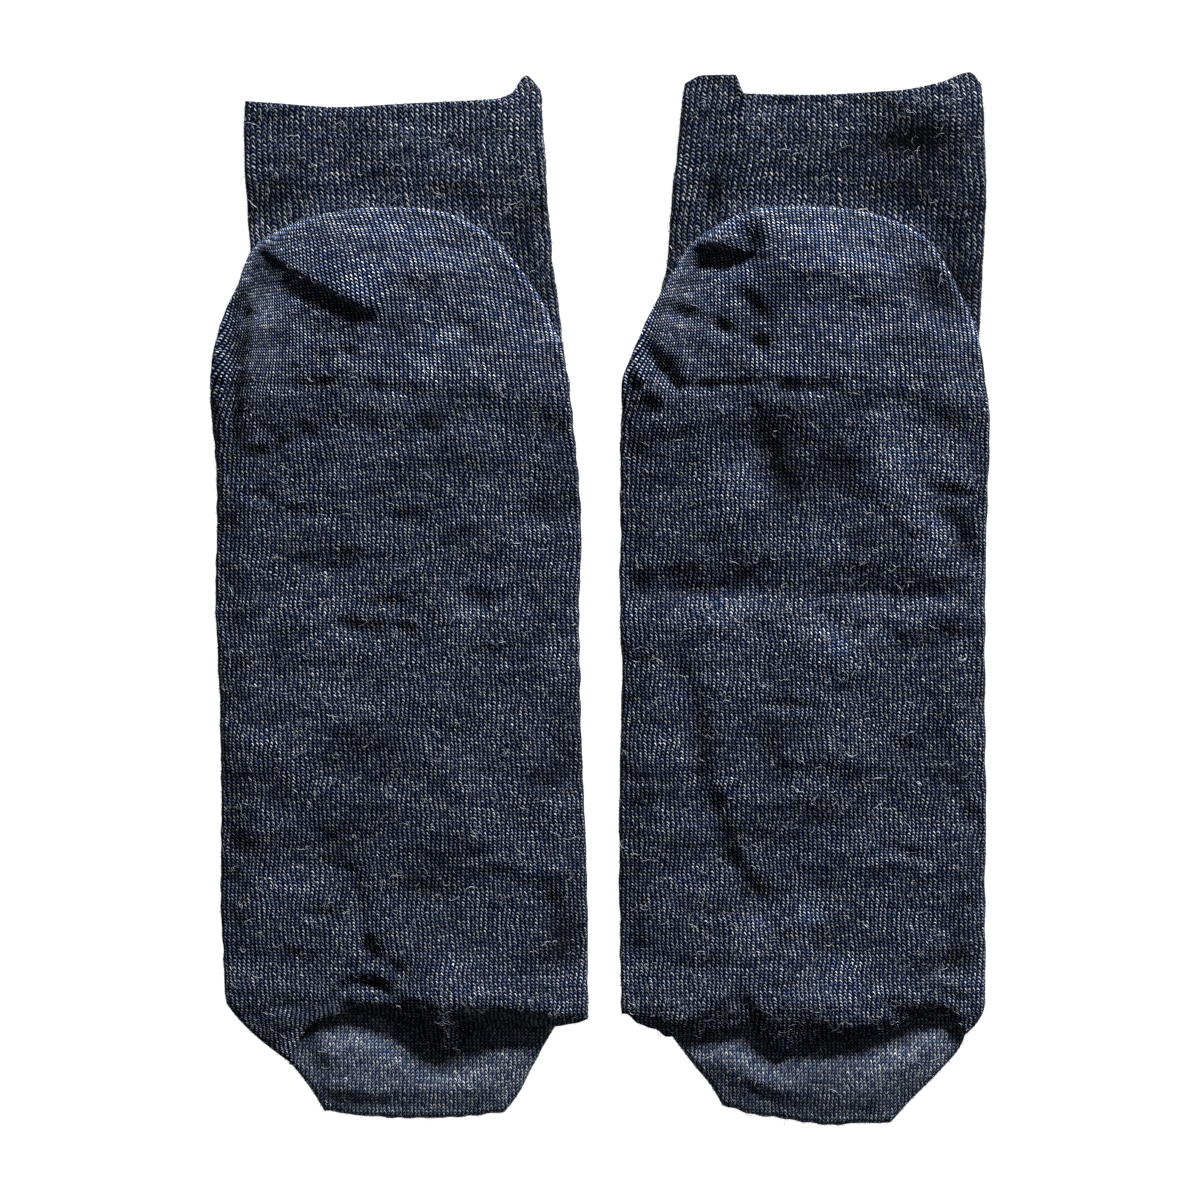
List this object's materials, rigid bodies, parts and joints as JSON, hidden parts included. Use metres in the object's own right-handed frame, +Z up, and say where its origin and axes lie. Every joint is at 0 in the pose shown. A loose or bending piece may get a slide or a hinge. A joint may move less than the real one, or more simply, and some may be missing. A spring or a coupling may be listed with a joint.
{
  "type": "pair of wool socks",
  "caption": "Pair of plain fine-knit wool crew socks lying flat, sole up, heel pockets folded back over the legs, toe caps pointing away.",
  "frame": {"origin": "middle of the pair's underside, on the surface they lie on", "axes": "+X across the pair from the left sock to the right one, +Y from the toes to the cuffs, +Z up from the surface"},
  "size_m": [0.195, 0.2626, 0.01],
  "materials": {
    "cuff_knit": "fine ribbed wool knit, heathered charcoal navy, matt with a light fuzz",
    "foot_knit": "plain jersey wool knit, heathered charcoal navy, matt with a light fuzz",
    "toe_knit": "plain jersey wool knit, a little lighter and smoother than the foot"
  },
  "bodies": {
    "root": {"left_leg": "cuff_knit", "left_foot": "foot_knit", "left_toe": "toe_knit", "right_leg": "cuff_knit", "right_foot": "foot_knit", "right_toe": "toe_knit"}
  },
  "joints": []
}
